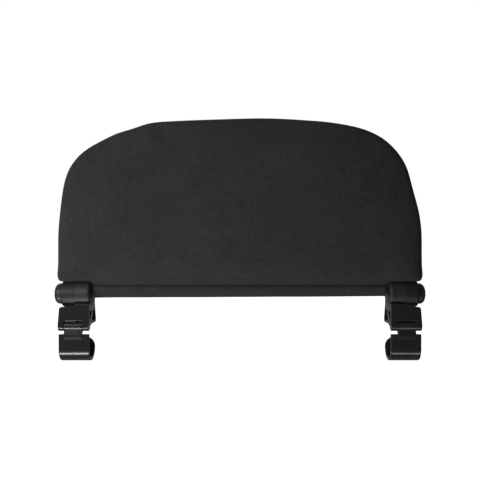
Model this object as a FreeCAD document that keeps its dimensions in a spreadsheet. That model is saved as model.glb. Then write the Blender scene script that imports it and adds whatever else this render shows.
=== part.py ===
"""Clip-on headrest for a chair with a round top tube.

A padded D-shaped headrest is carried by two button-lock hinges.  Under each
hinge an arm stands on a pivot pin, and the pin holds a hook that snaps over
the chair's tube.  Seen from the padded front, +X is to the right, +Y to the
back and +Z up.  The origin lies on the tube's axis, midway between the two
clips.  All sizes are in millimetres.
"""
import FreeCAD, Part
import math
import os
import Sketcher

DIMENSIONS = {
    # chair tube and the hooks that snap over it
    "tube_radius": 9.5,
    "clip_wall": 2.5,
    "clip_start": 133.0,
    "clip_length": 27.0,
    "clip_front_top": 13.0,
    "clip_rounding": 0.8,
    "clip_pad_proud": 0.6,
    "clip_pad_top": 12.6,
    "clip_pad_start": 11.0,
    "clip_pad_foot": 8.5,
    "clip_pad_rounding": 0.4,
    "neck_front_y": -10.6,
    "neck_front_height": 16.8,
    "neck_foot": 12.0,
    "neck_back_y": -5.5,
    "neck_back_height": 16.0,
    "tongue_turn": 50.0,
    "tongue_corner": 10.5,
    "knuckle_start": 139.7,
    "knuckle_length": 15.6,
    # pivot between hook and arm
    "pivot_y": -7.5,
    "pivot_height": 20.0,
    "pivot_radius": 1.75,
    "pivot_play": 0.05,
    "ear_radius": 4.5,
    "ear_start": 134.0,
    "ear_width": 5.4,
    "ear_top": 22.0,
    "arm_width": 26.8,
    "slot_play": 0.3,
    "slot_floor": 14.0,
    "slot_top": 24.8,
    "slot_back_play": 1.1,
    # hinge arm
    "arm_front": -12.0,
    "plate_wall": 2.8,
    "plate_top": 37.1,
    "plate_flare": 1.1,
    "plate_corner": 2.0,
    "arm_rounding": 0.5,
    "web_top": 31.5,
    "shoulder_top": 40.0,
    "shoulder_back_y": -8.9,
    "heel_chamfer": 1.0,
    "heel_depth": 15.0,
    "heel_bottom": 21.0,
    "heel_top": 24.0,
    "heel_start": 133.2,
    "heel_blend_y": 10.4,
    "heel_blend_height": 42.0,
    "arm_floor": 2.2,
    "pocket_top": 33.0,
    "pocket_depth": 11.0,
    "front_pocket_low_y": -6.2,
    "front_pocket_high_y": -0.8,
    "rear_pocket_low_y": -0.4,
    "rear_pocket_high_y": 4.0,
    "rear_pocket_back_y": 10.4,
    # hinge hubs
    "hub_height": 48.0,
    "hub_radius": 12.0,
    "hub_rounding": 2.5,
    "hub_joint": 146.35,
    "hub_gap": 0.15,
    "inner_hub_start": 132.5,
    "hub_wall": 2.5,
    "outer_hub_end": 159.0,
    "web_start": 150.0,
    "web_wall": 2.5,
    "recess_radius": 9.7,
    "lip_wall": 1.0,
    "lip_radius": 9.35,
    "boss_radius": 6.0,
    "boss_start": 57.5,
    "boss_top": 84.0,
    "socket_start": 61.0,
    # toothed lock between the hubs
    "tooth_count": 24.0,
    "gear_start": 142.4,
    "gear_width": 7.0,
    "gear_root": 9.05,
    "gear_tip": 10.25,
    "tooth_foot": 0.75,
    "tooth_nose": 0.45,
    "tooth_play": 0.15,
    "gear_recess": 5.2,
    "gear_recess_depth": 3.0,
    "wire_radius": 0.4,
    "spring_radius": 4.2,
    "spring_turns": 4.0,
    "spring_segment": 0.5,
    "tooth_root_overlap": 0.4,
    # push button
    "button_start": 156.3,
    "button_end": 166.0,
    "button_radius": 9.2,
    "button_bore": 7.3,
    "button_ridge": 9.55,
    "button_ridge_end": 157.6,
    "button_shoulder": 161.6,
    "button_edge_radius": 4.4,
    "button_crown_radius": 24.0,
    "leg_inner": 6.4,
    "leg_outer": 8.6,
    "leg_width": 5.0,
    "leg_play": 0.2,
    "leg_count": 3.0,
    # frame of the pad
    "rod_radius": 1.5,
    "rod_play": 0.05,
    "rod_end": 155.0,
    "nut_radius": 4.2,
    "nut_width": 2.5,
    "arch_radius": 4.0,
    "arch_wall": 1.2,
    "arch_inset": 10.0,
    "arch_start": 62.0,
    "screw_height": 76.0,
    "screw_radius": 1.5,
    "screw_length": 9.0,
    "screw_head_radius": 2.8,
    "screw_head": 1.8,
    # outline of the pad, as arcs from the middle of the top to the side
    "pad_top": 204.4,
    "crown_radius": 1300.0,
    "crown_turn": 3.0,
    "shoulder_radius": 145.0,
    "shoulder_turn": 25.0,
    "corner_radius": 59.0,
    "corner_turn": 70.0,
    "flank_radius": 180.0,
    "flank_turn": 90.0,
    # layers of the pad
    "pad_half_depth": 11.0,
    "fabric": 0.8,
    "pad_middle": 131.0,
    "pad_corner_height": 60.8,
    "pad_corner_rounding": 5.0,
    "seam_height": 55.8,
    "hem_half_depth": 4.5,
    "hem_fabric": 0.6,
    "core_half_depth": 4.2,
    "core_inset": 16.5,
    "board_inset": 15.0,
    "board_wall": 2.0,
    "foam_notch": 146.5,
}

OUTLINE_ARCS = (
    ("crown_radius", "crown_turn"),
    ("shoulder_radius", "shoulder_turn"),
    ("corner_radius", "corner_turn"),
    ("flank_radius", "flank_turn"),
)
TUBE_AXIS = ("0", "0")
HUB_AXIS = ("0", "dims.hub_height")
PIVOT_AXIS = ("dims.pivot_y", "dims.pivot_height")
INNER_HUB_RIM = "dims.hub_joint - dims.hub_gap"
OUTER_HUB_RIM = "dims.hub_joint + dims.hub_gap"
NEAR = 0.01

doc = FreeCAD.newDocument("headrest")
dims = doc.addObject("Spreadsheet::Sheet", "dims")
for row, (alias, size) in enumerate(DIMENSIONS.items(), start=1):
    dims.set(f"A{row}", alias)
    dims.set(f"B{row}", str(size))
    dims.setAlias(f"B{row}", alias)
doc.recompute()


# ---------------------------------------------------------------- helpers

def number(expression):
    """Work out an expression of the sheet's names as a plain number."""
    return float(dims.evalExpression(expression))


def add_body(label):
    body = doc.addObject("PartDesign::Body", label)
    body.Label = label
    return body


def add_sketch(body, name, plane, lift="0"):
    """Put an empty sketch on one of the body's planes, moved along its normal."""
    sketch = body.newObject("Sketcher::SketchObject", f"{body.Name}_{name}")
    support = next(item for item in body.Origin.OriginFeatures if item.Role == plane)
    sketch.AttachmentSupport = [(support, "")]
    sketch.MapMode = "FlatFace"
    sketch.setExpression("AttachmentOffset.Base.z", lift)
    return sketch


def bind(sketch, kind, references, expression):
    """Add one dimension to a sketch and tie it to the sheet."""
    index = sketch.addConstraint(Sketcher.Constraint(kind, *references, number(expression)))
    sketch.setExpression(f"Constraints[{index}]", expression)


def pin_point(sketch, geometry, point, place):
    bind(sketch, "DistanceX", (-1, 1, geometry, point), place[0])
    bind(sketch, "DistanceY", (-1, 1, geometry, point), place[1])


def add_circle(sketch, centre, radius):
    middle = FreeCAD.Vector(number(centre[0]), number(centre[1]), 0)
    index = sketch.addGeometry(Part.Circle(middle, FreeCAD.Vector(0, 0, 1), number(radius)))
    pin_point(sketch, index, 3, centre)
    bind(sketch, "Radius", (index,), radius)


def arc_between(start, end, radius):
    """Counter-clockwise arc of the given radius from start to end."""
    chord = end - start
    rise = math.sqrt(max(radius ** 2 - (chord.Length / 2) ** 2, 0))
    left = FreeCAD.Vector(-chord.y, chord.x, 0).normalize()
    centre = (start + end) / 2 + left * rise
    circle = Part.Circle(centre, FreeCAD.Vector(0, 0, 1), radius)
    return Part.ArcOfCircle(circle, circle.parameter(start), circle.parameter(end))


def add_path(sketch, corners, arcs=None, hollows=None, closed=True):
    """Draw lines through the corners, with arcs where the outline is curved.

    A key of arcs or hollows is the number of the corner where that arc
    starts, and its value is the radius.  An arc turns counter-clockwise and
    a hollow clockwise.  Every corner is tied to the sheet.
    """
    arcs = arcs or {}
    hollows = hollows or {}
    points = [FreeCAD.Vector(number(across), number(up), 0) for across, up in corners]
    count = len(points) if closed else len(points) - 1
    ends = []
    for step in range(count):
        start, end = points[step], points[(step + 1) % len(points)]
        if step in arcs:
            index = sketch.addGeometry(arc_between(start, end, number(arcs[step])))
        elif step in hollows:
            index = sketch.addGeometry(arc_between(end, start, number(hollows[step])))
        else:
            index = sketch.addGeometry(Part.LineSegment(start, end))
        ends.append((index, 2, 1) if step in hollows else (index, 1, 2))
    for step, (index, start, end) in enumerate(ends):
        pin_point(sketch, index, start, corners[step])
        if step in arcs or step in hollows:
            bind(sketch, "Radius", (index,), arcs.get(step) or hollows[step])
        if closed or step + 1 < count:
            after, after_start, _ = ends[(step + 1) % count]
            sketch.addConstraint(Sketcher.Constraint("Coincident", index, end, after, after_start))
        else:
            pin_point(sketch, index, end, corners[-1])


def pad(body, sketch, length):
    """Add material along the sketch's normal."""
    feature = body.newObject("PartDesign::Pad", f"{sketch.Name}_pad")
    feature.Profile = sketch
    feature.setExpression("Length", length)
    doc.recompute()
    return feature


def cut(body, sketch, length):
    """Remove material along the sketch's normal, and make sure that some went."""
    before = body.Shape.Volume
    feature = body.newObject("PartDesign::Pocket", f"{sketch.Name}_cut")
    feature.Profile = sketch
    feature.Reversed = True
    feature.setExpression("Length", length)
    doc.recompute()
    if not body.Shape.Volume < before:
        raise RuntimeError(f"{feature.Name} removes nothing")
    return feature


def disc(body, name, centre, radius, start, length, tool=pad):
    """Pad or cut a round stretch along X, from start, about centre (y, z)."""
    sketch = add_sketch(body, name, "YZ_Plane", start)
    add_circle(sketch, centre, radius)
    return tool(body, sketch, length)


def prism(body, name, corners, start, length, tool=pad, arcs=None):
    """Pad or cut an outline of (y, z) corners along X, from start."""
    sketch = add_sketch(body, name, "YZ_Plane", start)
    add_path(sketch, corners, arcs)
    return tool(body, sketch, length)


def round_edges(body, radius, wanted):
    """Fillet the edges of the body's tip for which wanted(edge) is true."""
    tip = body.Tip
    names = [f"Edge{n}" for n, edge in enumerate(tip.Shape.Edges, start=1) if wanted(edge)]
    if not names:
        raise RuntimeError(f"{body.Name} has no edge to round")
    fillet = body.newObject("PartDesign::Fillet", f"{body.Name}_round")
    fillet.Base = (tip, names)
    fillet.setExpression("Radius", radius)
    doc.recompute()
    return fillet


def repeat_about_hub(body, feature, count):
    """Repeat a feature about the hub axis."""
    axis_sketch = add_sketch(body, f"{feature.Name}_axis", "XZ_Plane")
    height = number("dims.hub_height")
    axis_sketch.addGeometry(
        Part.LineSegment(FreeCAD.Vector(0, height, 0), FreeCAD.Vector(10, height, 0)), True)
    pin_point(axis_sketch, 0, 1, ("0", "dims.hub_height"))
    pin_point(axis_sketch, 0, 2, ("10", "dims.hub_height"))
    pattern = body.newObject("PartDesign::PolarPattern", f"{feature.Name}_ring")
    pattern.Originals = [feature]
    pattern.Axis = (axis_sketch, ["Axis0"])
    pattern.Angle = 360
    pattern.setExpression("Occurrences", count)
    body.Tip = pattern
    doc.recompute()


def mirror_left(body):
    """Make the left-hand copy of a right-hand piece."""
    label = body.Label.replace("_right", "_left")
    copy = doc.addObject("Part::Mirroring", label)
    copy.Label = label
    copy.Source = body
    copy.Normal = FreeCAD.Vector(1, 0, 0)
    return copy


def lies_at(edge, x=None, y=None, z=None):
    """True for an edge that lies wholly in each of the given planes."""
    box = edge.BoundBox
    spans = ((box.XMin, box.XMax, x), (box.YMin, box.YMax, y), (box.ZMin, box.ZMax, z))
    return all(abs(low - place) < NEAR and abs(high - place) < NEAR
               for low, high, place in spans if place is not None)


def is_ring(edge, x, radius):
    """True for a whole circle of that radius about the X direction at x."""
    box = edge.BoundBox
    sizes = (box.YLength, box.ZLength)
    return lies_at(edge, x=x) and all(abs(size - 2 * radius) < NEAR for size in sizes)


# ------------------------------------------------------------ tube clips

def make_tube_clip():
    """Hook with a flat front, a round floor and a springy rear tongue."""
    body = add_body("tube_clip_right")
    outer = "dims.tube_radius + dims.clip_wall"
    sketch = add_sketch(body, "ring", "YZ_Plane", "dims.clip_start")
    add_circle(sketch, TUBE_AXIS, outer)
    add_circle(sketch, TUBE_AXIS, "dims.tube_radius")
    pad(body, sketch, "dims.clip_length")

    far = "2 * dims.tube_radius"
    mouth = (
        TUBE_AXIS,
        (f"{far} * cos(dims.tongue_turn * 1deg)", f"{far} * sin(dims.tongue_turn * 1deg)"),
        (f"{far} * cos(dims.tongue_turn * 1deg)", far),
        (f"-({far})", far),
        (f"-({far})", "0"),
    )
    prism(body, "mouth", mouth, "dims.clip_start", "dims.clip_length", cut)
    round_tongue(body)

    front = f"-({outer})"
    front_wall = (
        (front, "0"),
        ("-dims.tube_radius", "0"),
        ("-dims.tube_radius", "dims.clip_front_top"),
        (front, "dims.clip_front_top"),
    )
    prism(body, "front", front_wall, "dims.clip_start", "dims.clip_length")
    ends = (DIMENSIONS["clip_start"], DIMENSIONS["clip_start"] + DIMENSIONS["clip_length"])
    round_edges(body, "dims.clip_rounding", lambda edge: any(lies_at(edge, x=x) for x in ends))

    proud = f"{front} - dims.clip_pad_proud"
    neck = (
        ("dims.neck_front_y", "dims.neck_front_height"),
        (proud, "dims.clip_pad_top"),
        (proud, "dims.clip_pad_start"),
        (front, "dims.clip_pad_foot"),
        ("-dims.tube_radius", "dims.clip_pad_foot"),
        ("-dims.tube_radius", "dims.neck_foot"),
        ("dims.neck_back_y", "dims.neck_back_height"),
        PIVOT_AXIS,
    )
    prism(body, "neck", neck, "dims.knuckle_start", "dims.knuckle_length")
    disc(body, "knuckle", PIVOT_AXIS, "dims.ear_radius",
         "dims.knuckle_start", "dims.knuckle_length")
    face = number(proud)
    round_edges(body, "dims.clip_pad_rounding", lambda edge: lies_at(edge, y=face))
    disc(body, "pin_hole", PIVOT_AXIS, "dims.pivot_radius + dims.pivot_play",
         "dims.knuckle_start", "dims.knuckle_length", cut)
    return body


def round_tongue(body):
    """Round both upper corners of the tongue, as seen from behind."""
    outer = "(dims.tube_radius + dims.clip_wall)"
    tip = f"{outer} * sin(dims.tongue_turn * 1deg)"
    low = f"{tip} - dims.tongue_corner"
    end = "dims.clip_start + dims.clip_length"
    near = [
        ("dims.clip_start", low),
        ("dims.clip_start + dims.tongue_corner", tip),
        ("dims.clip_start", tip),
    ]
    far = [
        (f"{end} - dims.tongue_corner", tip),
        (end, low),
        (end, tip),
    ]
    for name, corners in (("near_corner", near), ("far_corner", far)):
        sketch = add_sketch(body, name, "XZ_Plane", f"-{outer} - 1")
        add_path(sketch, corners, hollows={0: "dims.tongue_corner"})
        cut(body, sketch, f"{outer} + 1")


# ------------------------------------------------------------ hinge arms

def make_hinge_arm():
    """Inner hub, front plate with two ears, and a ribbed heel behind."""
    body = add_body("hinge_arm_right")
    hub_length = f"{INNER_HUB_RIM} - dims.inner_hub_start"
    disc(body, "hub", HUB_AXIS, "dims.hub_radius", "dims.inner_hub_start", hub_length)
    start, radius = DIMENSIONS["inner_hub_start"], DIMENSIONS["hub_radius"]
    round_edges(body, "dims.hub_rounding", lambda edge: is_ring(edge, start, radius))

    ear_back = "dims.pivot_y + dims.ear_radius"
    heel = (
        ("dims.arm_front", "dims.shoulder_top"),
        ("dims.arm_front", "dims.pivot_height"),
        (ear_back, "dims.pivot_height"),
        (f"{ear_back} + dims.heel_chamfer", "dims.heel_bottom"),
        ("dims.heel_depth", "dims.heel_bottom"),
        ("dims.heel_depth", "dims.heel_top"),
        ("dims.heel_blend_y", "dims.heel_blend_height"),
        HUB_AXIS,
        ("dims.shoulder_back_y", "dims.shoulder_top"),
    )
    heel_length = f"{INNER_HUB_RIM} - dims.heel_start"
    prism(body, "heel", heel, "dims.heel_start", heel_length)

    sketch = add_sketch(body, "plate", "XZ_Plane", "-(dims.arm_front + dims.plate_wall)")
    arm_end = "dims.ear_start + dims.arm_width"
    plate = (
        ("dims.ear_start", "dims.pivot_height"),
        (arm_end, "dims.pivot_height"),
        (arm_end, "dims.ear_top"),
        (f"{arm_end} - dims.plate_flare", "dims.plate_top - dims.plate_corner"),
        (f"{arm_end} - dims.plate_flare - dims.plate_corner", "dims.plate_top"),
        ("dims.ear_start", "dims.plate_top"),
    )
    add_path(sketch, plate, {3: "dims.plate_corner"})
    pad(body, sketch, "dims.plate_wall")

    ear = (
        ("dims.arm_front", "dims.ear_top"),
        ("dims.arm_front", "dims.pivot_height"),
        ("dims.pivot_y", "dims.pivot_height - dims.ear_radius"),
        (ear_back, "dims.pivot_height"),
        (ear_back, "dims.ear_top"),
    )
    web = (
        ("dims.arm_front", "dims.ear_top"),
        (ear_back, "dims.ear_top"),
        ("dims.arm_front + dims.plate_wall", "dims.web_top"),
        ("dims.arm_front", "dims.web_top"),
    )
    outer_ear = f"{arm_end} - dims.ear_width"
    for side, ear_start in (("inner", "dims.ear_start"), ("outer", outer_ear)):
        prism(body, f"{side}_ear", ear, ear_start, "dims.ear_width",
              arcs={1: "dims.ear_radius", 2: "dims.ear_radius"})
        prism(body, f"{side}_web", web, ear_start, "dims.ear_width - dims.plate_corner")

    slot = (
        ("dims.arm_front - 1", "dims.slot_floor"),
        (f"{ear_back} + dims.slot_back_play", "dims.slot_floor"),
        (f"{ear_back} + dims.slot_back_play", "dims.slot_top"),
        ("dims.arm_front - 1", "dims.slot_top"),
    )
    prism(body, "slot", slot, "dims.knuckle_start - dims.slot_play",
          "dims.knuckle_length + 2 * dims.slot_play", cut)
    round_edges(body, "dims.arm_rounding", is_front_edge_of_arm)
    disc(body, "pin_hole", PIVOT_AXIS, "dims.pivot_radius",
         "dims.ear_start", "dims.arm_width", cut)

    front_pocket = (
        ("dims.arm_front + dims.plate_wall", "dims.slot_top + 1"),
        ("dims.front_pocket_low_y", "dims.slot_top + 1"),
        ("dims.front_pocket_high_y", "dims.pocket_top"),
        ("dims.arm_front + dims.plate_wall", "dims.pocket_top"),
    )
    rear_pocket = (
        ("dims.rear_pocket_low_y", "dims.heel_bottom + dims.arm_floor"),
        ("dims.heel_depth - dims.arm_floor", "dims.heel_bottom + dims.arm_floor"),
        ("dims.rear_pocket_back_y", "dims.pocket_top"),
        ("dims.rear_pocket_high_y", "dims.pocket_top"),
    )
    for name, corners in (("front_pocket", front_pocket), ("rear_pocket", rear_pocket)):
        prism(body, name, corners, "dims.heel_start", "dims.pocket_depth", cut)

    cavity_start = "dims.inner_hub_start + dims.hub_wall"
    cut_toothed_bore(body, cavity_start, f"{INNER_HUB_RIM} - ({cavity_start})")
    disc(body, "rod_hole", HUB_AXIS, "dims.rod_radius + dims.rod_play",
         "dims.inner_hub_start", "dims.hub_wall", cut)
    return body


def is_front_edge_of_arm(edge):
    """True for an edge of the arm's front face, above the knuckle."""
    above = edge.BoundBox.ZMin > DIMENSIONS["pivot_height"] - NEAR
    return above and lies_at(edge, y=DIMENSIONS["arm_front"])


def cut_toothed_bore(body, start, length):
    """Bore a hub and cut the tooth spaces that the lock gear slides in."""
    disc(body, "bore", HUB_AXIS, "dims.gear_root + dims.tooth_play", start, length, cut)
    foot = "dims.tooth_foot + dims.tooth_play"
    nose = "dims.tooth_nose + dims.tooth_play"
    low = "dims.hub_height + dims.gear_root - dims.tooth_play"
    high = "dims.hub_height + dims.gear_tip + dims.tooth_play"
    space = ((f"-({foot})", low), (foot, low), (nose, high), (f"-({nose})", high))
    feature = prism(body, "tooth_space", space, start, length, cut)
    repeat_about_hub(body, feature, "dims.tooth_count")


# ------------------------------------------------------------ outer hubs

def make_outer_hub():
    """Hub on the pad's frame, with a boss for the arch and a web for the rod."""
    body = add_body("outer_hub_right")
    disc(body, "hub", HUB_AXIS, "dims.hub_radius", OUTER_HUB_RIM,
         f"dims.outer_hub_end - ({OUTER_HUB_RIM})")
    end, radius = DIMENSIONS["outer_hub_end"], DIMENSIONS["hub_radius"]
    round_edges(body, "dims.hub_rounding", lambda edge: is_ring(edge, end, radius))

    boss = add_sketch(body, "boss", "XY_Plane", "dims.boss_start")
    add_circle(boss, (side_at("dims.arch_inset"), "0"), "dims.boss_radius")
    pad(body, boss, "dims.boss_top - dims.boss_start")
    socket = add_sketch(body, "socket", "XY_Plane", "dims.socket_start")
    add_circle(socket, (side_at("dims.arch_inset"), "0"), "dims.arch_radius")
    cut(body, socket, "dims.boss_top - dims.socket_start")

    cut_toothed_bore(body, OUTER_HUB_RIM, f"dims.web_start - ({OUTER_HUB_RIM})")
    recess_start = "dims.web_start + dims.web_wall"
    disc(body, "recess", HUB_AXIS, "dims.recess_radius", recess_start,
         f"dims.outer_hub_end - dims.lip_wall - ({recess_start})", cut)
    disc(body, "mouth", HUB_AXIS, "dims.lip_radius", "dims.outer_hub_end - dims.lip_wall",
         "dims.lip_wall", cut)
    disc(body, "rod_hole", HUB_AXIS, "dims.rod_radius", "dims.web_start", "dims.web_wall", cut)
    leg_slot = leg_section("dims.leg_play")
    feature = prism(body, "leg_slot", leg_slot, "dims.web_start", "dims.web_wall", cut)
    repeat_about_hub(body, feature, "dims.leg_count")

    screw_hole = add_sketch(body, "screw_hole", "XZ_Plane", "-dims.boss_radius")
    add_circle(screw_hole, (side_at("dims.arch_inset"), "dims.screw_height"), "dims.screw_radius")
    cut(body, screw_hole, "dims.boss_radius")
    return body


def leg_section(play):
    """Corners (y, z) of one button leg, or of its slot with some play."""
    half = f"(dims.leg_width / 2 + {play})"
    low = f"dims.hub_height + dims.leg_inner - {play}"
    high = f"dims.hub_height + dims.leg_outer + {play}"
    return ((f"-{half}", low), (half, low), (half, high), (f"-{half}", high))


# --------------------------------------------------- lock and push button

def make_lock_gear():
    """Toothed ring that bridges both hubs until the button pushes it inwards."""
    body = add_body("lock_gear_right")
    disc(body, "blank", HUB_AXIS, "dims.gear_root", "dims.gear_start", "dims.gear_width")
    low = "dims.hub_height + dims.gear_root - dims.tooth_root_overlap"
    high = "dims.hub_height + dims.gear_tip"
    tooth = (
        ("-dims.tooth_foot", low),
        ("dims.tooth_foot", low),
        ("dims.tooth_nose", high),
        ("-dims.tooth_nose", high),
    )
    feature = prism(body, "tooth", tooth, "dims.gear_start", "dims.gear_width")
    repeat_about_hub(body, feature, "dims.tooth_count")
    disc(body, "rod_hole", HUB_AXIS, "dims.rod_radius + dims.rod_play",
         "dims.gear_start", "dims.gear_width", cut)
    disc(body, "spring_seat", HUB_AXIS, "dims.gear_recess",
         "dims.gear_start", "dims.gear_recess_depth", cut)
    return body


def make_push_button():
    """Domed cap with three legs that reach the lock gear through the web."""
    body = add_body("push_button_right")
    sketch = add_sketch(body, "section", "XZ_Plane")
    sketch.setExpression("AttachmentOffset.Base.y", "dims.hub_height")
    section = (
        ("dims.button_start", "dims.button_bore"),
        ("dims.button_end - 4", "dims.button_bore"),
        ("dims.button_end - 3", "dims.button_bore - 1"),
        ("dims.button_end - 3", "0"),
        ("dims.button_end", "0"),
        ("dims.button_end - 0.6", "dims.button_radius - 4"),
        ("dims.button_shoulder", "dims.button_radius"),
        ("dims.button_ridge_end + 0.3", "dims.button_radius"),
        ("dims.button_ridge_end", "dims.button_ridge"),
        ("dims.button_start", "dims.button_ridge"),
    )
    add_path(sketch, section, {4: "dims.button_crown_radius", 5: "dims.button_edge_radius"})
    turned = body.newObject("PartDesign::Revolution", "push_button_right_turned")
    turned.Profile = sketch
    turned.ReferenceAxis = (sketch, ["H_Axis"])
    turned.Angle = 360
    doc.recompute()
    leg_start = "dims.gear_start + dims.gear_width"
    feature = prism(body, "leg", leg_section("0"), leg_start,
                    f"dims.button_start + 1 - ({leg_start})")
    repeat_about_hub(body, feature, "dims.leg_count")
    return body


def make_lock_spring(side):
    """Coil spring about the rod, between the arm's hub wall and the lock gear."""
    label = f"lock_spring_{side}"
    start = "(dims.inner_hub_start + dims.hub_wall + dims.wire_radius)"
    end = "(dims.gear_start + dims.gear_recess_depth - dims.wire_radius)"
    coil = doc.addObject("Part::Helix", f"{label}_coil")
    coil.setExpression("Radius", "dims.spring_radius")
    coil.setExpression("Height", f"{end} - {start}")
    coil.setExpression("Pitch", f"({end} - {start}) / dims.spring_turns")
    coil.setExpression("SegmentLength", "dims.spring_segment")
    wire = doc.addObject("Part::Circle", f"{label}_wire")
    wire.setExpression("Radius", "dims.wire_radius")
    wire.setExpression("Placement.Base.x", "dims.spring_radius")
    wire.Placement.Rotation = FreeCAD.Rotation(FreeCAD.Vector(1, 0, 0), 90)
    spring = doc.addObject("Part::Sweep", label)
    spring.Label = label
    spring.Sections = [wire]
    spring.Spine = (coil, [])
    spring.Solid = True
    spring.Frenet = True
    sign = 1 if side == "right" else -1
    spring.Placement.Rotation = FreeCAD.Rotation(FreeCAD.Vector(0, 1, 0), 90 * sign)
    spring.setExpression("Placement.Base.x", f"{sign} * {start}")
    spring.setExpression("Placement.Base.z", "dims.hub_height")
    return spring


# ------------------------------------------------- pins, rod and fasteners

def round_bar(label, radius, start, length, height="dims.hub_height", depth="0", bore=None):
    """Round bar or ring along X from start, made of primitives."""
    bar = x_cylinder(label if bore is None else f"{label}_blank",
                     radius, start, length, height, depth)
    if bore is None:
        return bar
    ring = doc.addObject("Part::Cut", label)
    ring.Label = label
    ring.Base = bar
    ring.Tool = x_cylinder(f"{label}_bore", bore, start, length, height, depth)
    return ring


def x_cylinder(name, radius, start, length, height, depth):
    bar = doc.addObject("Part::Cylinder", name)
    bar.Label = name
    bar.setExpression("Radius", radius)
    bar.setExpression("Height", length)
    bar.Placement.Rotation = FreeCAD.Rotation(FreeCAD.Vector(0, 1, 0), 90)
    bar.setExpression("Placement.Base.x", start)
    bar.setExpression("Placement.Base.y", depth)
    bar.setExpression("Placement.Base.z", height)
    return bar


def make_frame_screw(side):
    """Pan-head screw that holds the arch in the hub's boss, from the back."""
    sign = 1 if side == "right" else -1
    pieces = []
    for name, radius, start, length in (
            ("shank", "dims.screw_radius", "dims.boss_radius - dims.screw_length",
             "dims.screw_length"),
            ("head", "dims.screw_head_radius", "dims.boss_radius", "dims.screw_head")):
        piece = doc.addObject("Part::Cylinder", f"screw_{name}_{side}")
        piece.setExpression("Radius", radius)
        piece.setExpression("Height", length)
        piece.Placement.Rotation = FreeCAD.Rotation(FreeCAD.Vector(1, 0, 0), -90)
        piece.setExpression("Placement.Base.x", f"{sign} * ({side_at('dims.arch_inset')})")
        piece.setExpression("Placement.Base.y", start)
        piece.setExpression("Placement.Base.z", "dims.screw_height")
        pieces.append(piece)
    screw = doc.addObject("Part::MultiFuse", f"frame_screw_{side}")
    screw.Label = f"frame_screw_{side}"
    screw.Shapes = pieces
    return screw


# ------------------------------------------------------- frame and padding

def outline_corner(inset, count):
    """Where the first arcs of the pad's outline end, on the right, moved inwards."""
    across = "0"
    up = f"dims.pad_top - {inset}"
    turned = "0"
    for radius, turn in OUTLINE_ARCS[:count]:
        size = f"(dims.{radius} - {inset})"
        across += f" + {size} * (sin(dims.{turn} * 1deg) - sin({turned} * 1deg))"
        up += f" - {size} * (cos({turned} * 1deg) - cos(dims.{turn} * 1deg))"
        turned = f"dims.{turn}"
    return across, up


def side_at(inset):
    """Half width of the pad's straight side, moved inwards."""
    return outline_corner(inset, len(OUTLINE_ARCS))[0]


def over_the_top(inset, first):
    """Corners and arcs from the right flank over the crown to the left flank."""
    right = [outline_corner(inset, count) for count in range(len(OUTLINE_ARCS), 0, -1)]
    left = [(f"-({across})", up) for across, up in reversed(right)]
    radii = [f"dims.{radius} - {inset}" for radius, _ in reversed(OUTLINE_ARCS)]
    radii += radii[-2::-1]
    arcs = {first + step: radius for step, radius in enumerate(radii)}
    return right + left, arcs


def flat_bottomed(inset, bottom):
    """Closed D outline with a straight bottom edge."""
    side = side_at(inset)
    curve, arcs = over_the_top(inset, 1)
    return [(side, bottom)] + curve + [(f"-({side})", bottom)], arcs


def slab(body, name, outline, back, front, tool=pad):
    """Pad or cut an (x, z) outline between two depths along Y."""
    corners, arcs = outline
    sketch = add_sketch(body, name, "XZ_Plane", f"-({back})")
    add_path(sketch, corners, arcs)
    return tool(body, sketch, f"{back} - ({front})")


def make_frame_arch():
    """Steel tube bent to the pad's outline, with its ends in the two bosses."""
    body = add_body("frame_arch")
    inset = "dims.arch_inset"
    side = side_at(inset)
    curve, arcs = over_the_top(inset, 1)
    path = add_sketch(body, "path", "XZ_Plane")
    add_path(path, [(side, "dims.arch_start")] + curve + [(f"-({side})", "dims.arch_start")],
             arcs, closed=False)
    section = add_sketch(body, "section", "XY_Plane", "dims.arch_start")
    add_circle(section, (side, "0"), "dims.arch_radius")
    add_circle(section, (side, "0"), "dims.arch_radius - dims.arch_wall")
    doc.recompute()
    sweep = body.newObject("PartDesign::AdditivePipe", "frame_arch_tube")
    sweep.Profile = section
    sweep.Spine = (path, [f"Edge{n}" for n in range(1, path.GeometryCount + 1)])
    doc.recompute()
    holes = add_sketch(body, "screw_holes", "XZ_Plane", "-dims.boss_radius")
    for across in (side, f"-({side})"):
        add_circle(holes, (across, "dims.screw_height"), "dims.screw_radius")
    cut(body, holes, "2 * dims.boss_radius")
    return body


def make_fabric_cover():
    """Sewn cover of the pad, open below where the hem sleeve closes it."""
    body = add_body("fabric_cover")
    slab(body, "outside", cover_outline("0", "dims.pad_corner_height"),
         "dims.pad_half_depth", "-dims.pad_half_depth")
    slab(body, "inside", cover_outline("dims.fabric", "dims.pad_corner_height + dims.fabric"),
         "dims.pad_half_depth - dims.fabric", "dims.fabric - dims.pad_half_depth", cut)
    holes = add_sketch(body, "boss_holes", "XY_Plane", "dims.pad_corner_height")
    for sign in ("", "-"):
        add_circle(holes, (f"{sign}({side_at('dims.arch_inset')})", "0"), "dims.boss_radius")
    cut(body, holes, "dims.fabric")
    return body


def cover_outline(inset, corner_height):
    """D outline whose lower corners are notched above the hinge hubs."""
    side = side_at(inset)
    middle = f"(dims.pad_middle - {inset})"
    rounding = f"(dims.pad_corner_rounding - {inset})"
    right = [
        (middle, "dims.seam_height"),
        (middle, corner_height),
        (f"{side} - {rounding}", corner_height),
        (side, f"{corner_height} + {rounding}"),
    ]
    left = [(f"-({across})", up) for across, up in reversed(right)]
    curve, arcs = over_the_top(inset, len(right))
    arcs[2] = rounding
    arcs[len(right) + len(curve)] = rounding
    return right + curve + left, arcs


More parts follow.
